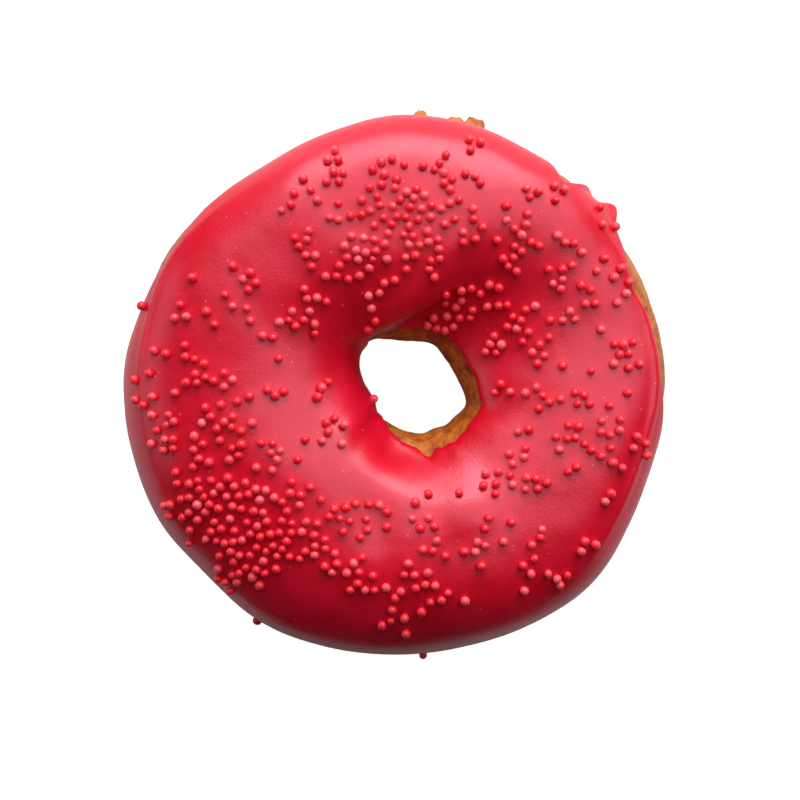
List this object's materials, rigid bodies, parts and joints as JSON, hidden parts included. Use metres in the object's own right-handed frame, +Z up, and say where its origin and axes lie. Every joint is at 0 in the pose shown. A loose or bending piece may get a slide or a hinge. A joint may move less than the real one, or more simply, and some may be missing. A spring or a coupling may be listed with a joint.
{
  "type": "doughnut",
  "caption": "Iced ring doughnut: a fried dough ring with an off-centre hole, red icing over its upper half and nonpareils set in it; a sweet snack that lies on a plate.",
  "frame": {"origin": "middle of the footprint, on the surface that the doughnut lies on", "axes": "+Z up through the hole; the dough's fold runs from the hole towards +X and +Y; the hole's widest side is towards +X"},
  "size_m": [0.0902, 0.0894, 0.0313],
  "materials": {
    "dough": "fried dough: matt golden-brown crust, paler round the waist, darker in the hole and underneath",
    "icing": "set sugar icing: crimson-pink, satin, slightly translucent, fine grain",
    "nonpareils": "hard sugar beads: bright red, satin, some paler"
  },
  "bodies": {
    "root": {"dough_ring": "dough", "icing": "icing", "nonpareil_01": "nonpareils", "nonpareil_02": "nonpareils", "nonpareil_03": "nonpareils", "nonpareil_04": "nonpareils", "nonpareil_05": "nonpareils", "nonpareil_06": "nonpareils", "nonpareil_07": "nonpareils", "nonpareil_08": "nonpareils", "nonpareil_09": "nonpareils", "nonpareil_10": "nonpareils", "nonpareil_11": "nonpareils", "nonpareil_12": "nonpareils", "nonpareil_13": "nonpareils", "nonpareil_14": "nonpareils", "nonpareil_15": "nonpareils", "nonpareil_16": "nonpareils", "nonpareil_17": "nonpareils", "nonpareil_18": "nonpareils", "nonpareil_19": "nonpareils", "nonpareil_20": "nonpareils", "nonpareil_21": "nonpareils", "nonpareil_22": "nonpareils", "nonpareil_23": "nonpareils", "nonpareil_24": "nonpareils", "nonpareil_25": "nonpareils", "nonpareil_26": "nonpareils", "nonpareil_27": "nonpareils", "nonpareil_28": "nonpareils", "nonpareil_29": "nonpareils", "nonpareil_30": "nonpareils", "nonpareil_31": "nonpareils", "nonpareil_32": "nonpareils", "nonpareil_33": "nonpareils", "nonpareil_34": "nonpareils", "nonpareil_35": "nonpareils", "nonpareil_36": "nonpareils", "nonpareil_37": "nonpareils", "nonpareil_38": "nonpareils", "nonpareil_39": "nonpareils", "nonpareil_40": "nonpareils", "nonpareil_41": "nonpareils", "nonpareil_42": "nonpareils", "nonpareil_43": "nonpareils", "nonpareil_44": "nonpareils", "nonpareil_45": "nonpareils", "nonpareil_46": "nonpareils", "nonpareil_47": "nonpareils", "nonpareil_48": "nonpareils", "nonpareil_49": "nonpareils", "nonpareil_50": "nonpareils", "nonpareil_51": "nonpareils", "nonpareil_52": "nonpareils", "nonpareil_53": "nonpareils", "nonpareil_54": "nonpareils", "nonpareil_55": "nonpareils", "nonpareil_56": "nonpareils", "nonpareil_57": "nonpareils", "nonpareil_58": "nonpareils"}
  },
  "joints": []
}
